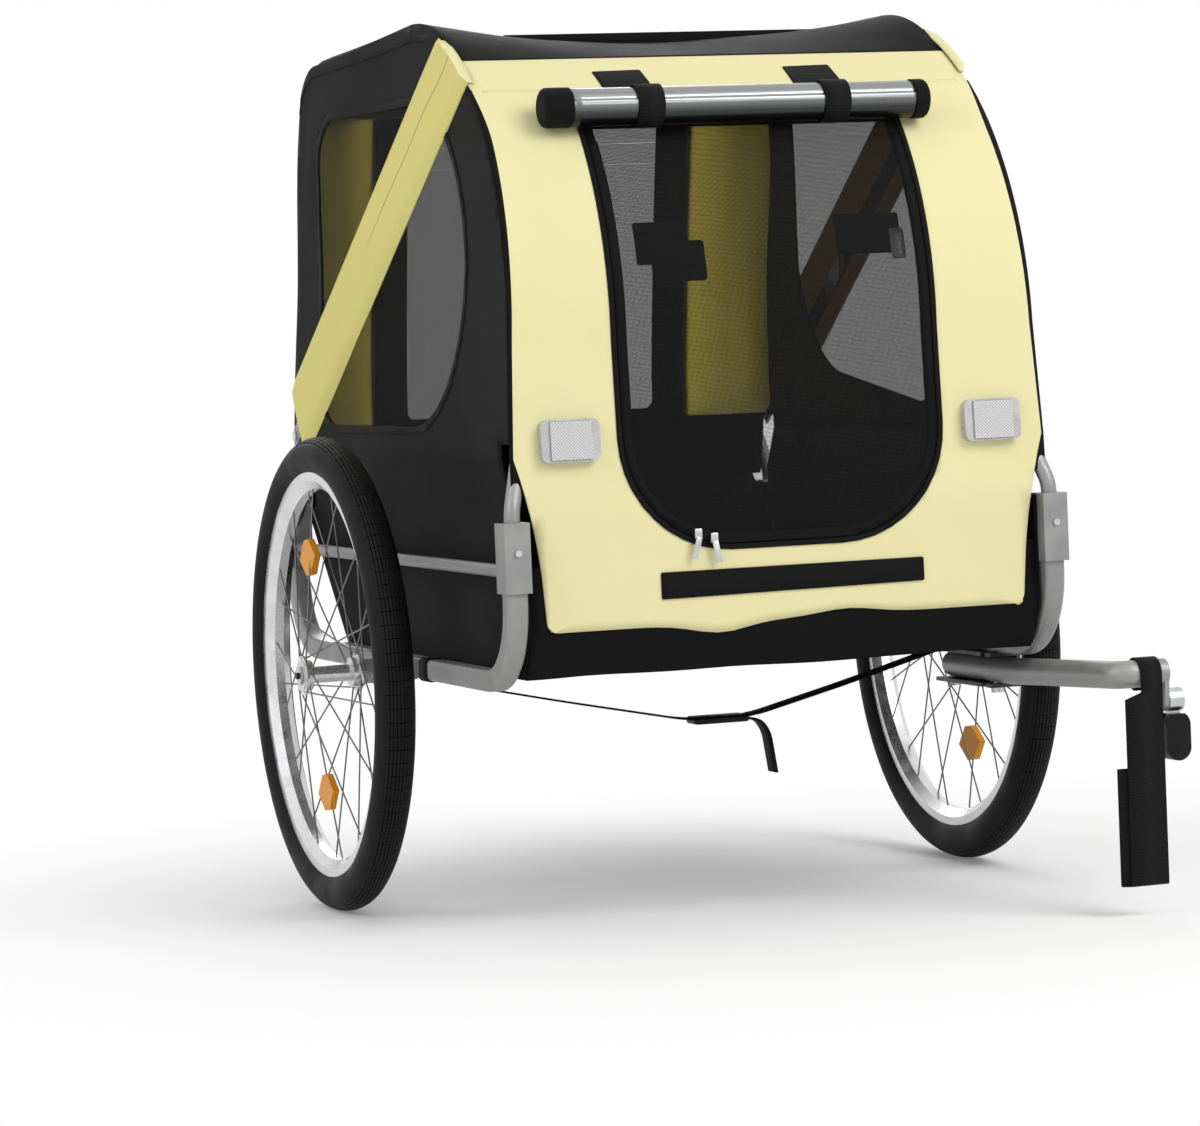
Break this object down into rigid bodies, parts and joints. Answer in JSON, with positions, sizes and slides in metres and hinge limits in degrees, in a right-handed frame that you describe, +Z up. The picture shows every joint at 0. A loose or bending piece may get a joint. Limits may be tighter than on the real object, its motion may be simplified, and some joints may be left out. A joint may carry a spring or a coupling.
{
  "type": "dog bike trailer",
  "caption": "Two-wheeled dog trailer for a bicycle: tube frame, yellow and black cloth cabin with mesh doors and windows, rolled rain cover and a side drawbar with a coupling.",
  "frame": {"origin": "on the ground, in the middle of the whole trailer seen from above", "axes": "+Z up, -Y to the front (towards the bicycle), +X to the trailer's left"},
  "size_m": [0.804, 0.9672, 0.938],
  "materials": {
    "frame_silver": "semi-gloss silver powder coat",
    "frame_black": "satin black powder coat",
    "steel": "zinc plated",
    "rim_alloy": "plain alloy",
    "tyre": "moulded rubber",
    "black_plastic": "moulded",
    "white_plastic": "moulded",
    "yellow_cloth": "pale yellow coated woven cloth",
    "black_cloth": "coated woven cloth",
    "black_mesh": "open mesh",
    "webbing": "woven webbing",
    "clear_film": "rolled clear film",
    "floor_board": "thin board, painted black",
    "clear_lens": "prismatic reflector",
    "amber_lens": "prismatic reflector"
  },
  "bodies": {
    "chassis": {"cross_tubes": "frame_black", "upper_rails": "frame_silver", "corner_sleeves": "frame_silver", "front_bow": "frame_silver", "rear_bow": "frame_silver", "diagonal_struts": "frame_silver", "strut_rivets": "steel", "bracket_bolts": "steel", "floor_board": "floor_board", "floor_tub": "black_cloth", "front_panel": "yellow_cloth", "rear_panel": "yellow_cloth", "front_door_header": "black_cloth", "rear_door_header": "black_cloth", "roof_panel": "black_cloth", "side_windows": "black_mesh", "strut_sleeves": "yellow_cloth", "rain_cover_roll": "clear_film", "roll_ends": "black_cloth", "roll_straps": "webbing", "front_reflectors": "white_plastic", "reflector_lenses": "clear_lens", "drawbar_bracket": "frame_black", "pivot_bolt": "steel", "under_strap": "webbing", "side_frame_left": "frame_silver", "side_panel_left": "black_cloth", "axle_left": "steel", "axle_bracket_left": "frame_silver", "side_frame_right": "frame_silver", "side_panel_right": "black_cloth", "axle_right": "steel", "axle_bracket_right": "frame_silver"},
    "wheel_left": {"tyre_left": "tyre", "rim_left": "rim_alloy", "hub_left": "rim_alloy", "bearings_left": "steel", "spokes_left": "steel", "wheel_reflectors_left": "amber_lens"},
    "wheel_right": {"tyre_right": "tyre", "rim_right": "rim_alloy", "hub_right": "rim_alloy", "bearings_right": "steel", "spokes_right": "steel", "wheel_reflectors_right": "amber_lens"},
    "left_release": {"release_button_left": "black_plastic"},
    "right_release": {"release_button_right": "black_plastic"},
    "front_flap": {"front_door": "black_mesh"},
    "rear_flap": {"rear_door": "black_mesh"},
    "drawbar": {"drawbar_tube": "frame_silver", "safety_strap": "webbing"},
    "drawbar_pin": {"lock_pin": "steel"},
    "eye": {"coupling_eye": "steel"},
    "arm": {"coupling_arm": "black_plastic"},
    "button_front_left": {"snap_button_front_left": "steel"},
    "button_front_right": {"snap_button_front_right": "steel"},
    "button_rear_left": {"snap_button_rear_left": "steel"},
    "button_rear_right": {"snap_button_rear_right": "steel"}
  },
  "joints": [
    {"name": "wheel_left_spin", "type": "hinge", "parent": "chassis", "child": "wheel_left", "pos_m": [0.3637, 0.10815, 0.254], "axis": [1, 0, 0], "continuous": true},
    {"name": "axle_release_left", "type": "slide", "parent": "chassis", "child": "left_release", "axis": [-1, 0, 0], "range_m": [0, 0.002], "stiffness_N_per_m": 400},
    {"name": "wheel_right_spin", "type": "hinge", "parent": "chassis", "child": "wheel_right", "pos_m": [-0.3637, 0.10815, 0.254], "axis": [1, 0, 0], "continuous": true},
    {"name": "axle_release_right", "type": "slide", "parent": "chassis", "child": "right_release", "axis": [1, 0, 0], "range_m": [0, 0.002], "stiffness_N_per_m": 400},
    {"name": "snap_front_left", "type": "slide", "parent": "chassis", "child": "button_front_left", "axis": [0, 1, 0], "range_m": [0, 0.003], "stiffness_N_per_m": 600},
    {"name": "snap_front_right", "type": "slide", "parent": "chassis", "child": "button_front_right", "axis": [0, 1, 0], "range_m": [0, 0.003], "stiffness_N_per_m": 600},
    {"name": "snap_rear_left", "type": "slide", "parent": "chassis", "child": "button_rear_left", "axis": [0, -1, 0], "range_m": [0, 0.003], "stiffness_N_per_m": 600},
    {"name": "snap_rear_right", "type": "slide", "parent": "chassis", "child": "button_rear_right", "axis": [0, -1, 0], "range_m": [0, 0.003], "stiffness_N_per_m": 600},
    {"name": "front_flap_hinge", "type": "hinge", "parent": "chassis", "child": "front_flap", "pos_m": [0, -0.23936, 0.8], "axis": [-1, 0, 0], "range_deg": [0, 95]},
    {"name": "rear_flap_hinge", "type": "hinge", "parent": "chassis", "child": "rear_flap", "pos_m": [0, 0.43423, 0.8], "axis": [1, 0, 0], "range_deg": [0, 95]},
    {"name": "drawbar_swing", "type": "hinge", "parent": "chassis", "child": "drawbar", "pos_m": [0.289, -0.06385, 0.2327], "axis": [0, 0, -1], "range_deg": [0, 85]},
    {"name": "lock_pin_pull", "type": "slide", "parent": "drawbar", "child": "drawbar_pin", "axis": [0, 0, -1], "range_m": [0, 0.05]},
    {"name": "coupling_pitch", "type": "hinge", "parent": "drawbar", "child": "eye", "pos_m": [0.347, -0.46685, 0.215], "axis": [1, 0, 0], "range_deg": [-95, 95]},
    {"name": "coupling_yaw", "type": "hinge", "parent": "eye", "child": "arm", "pos_m": [0.347, -0.46685, 0.19], "axis": [0, 1, 0], "range_deg": [-30, 30]}
  ]
}
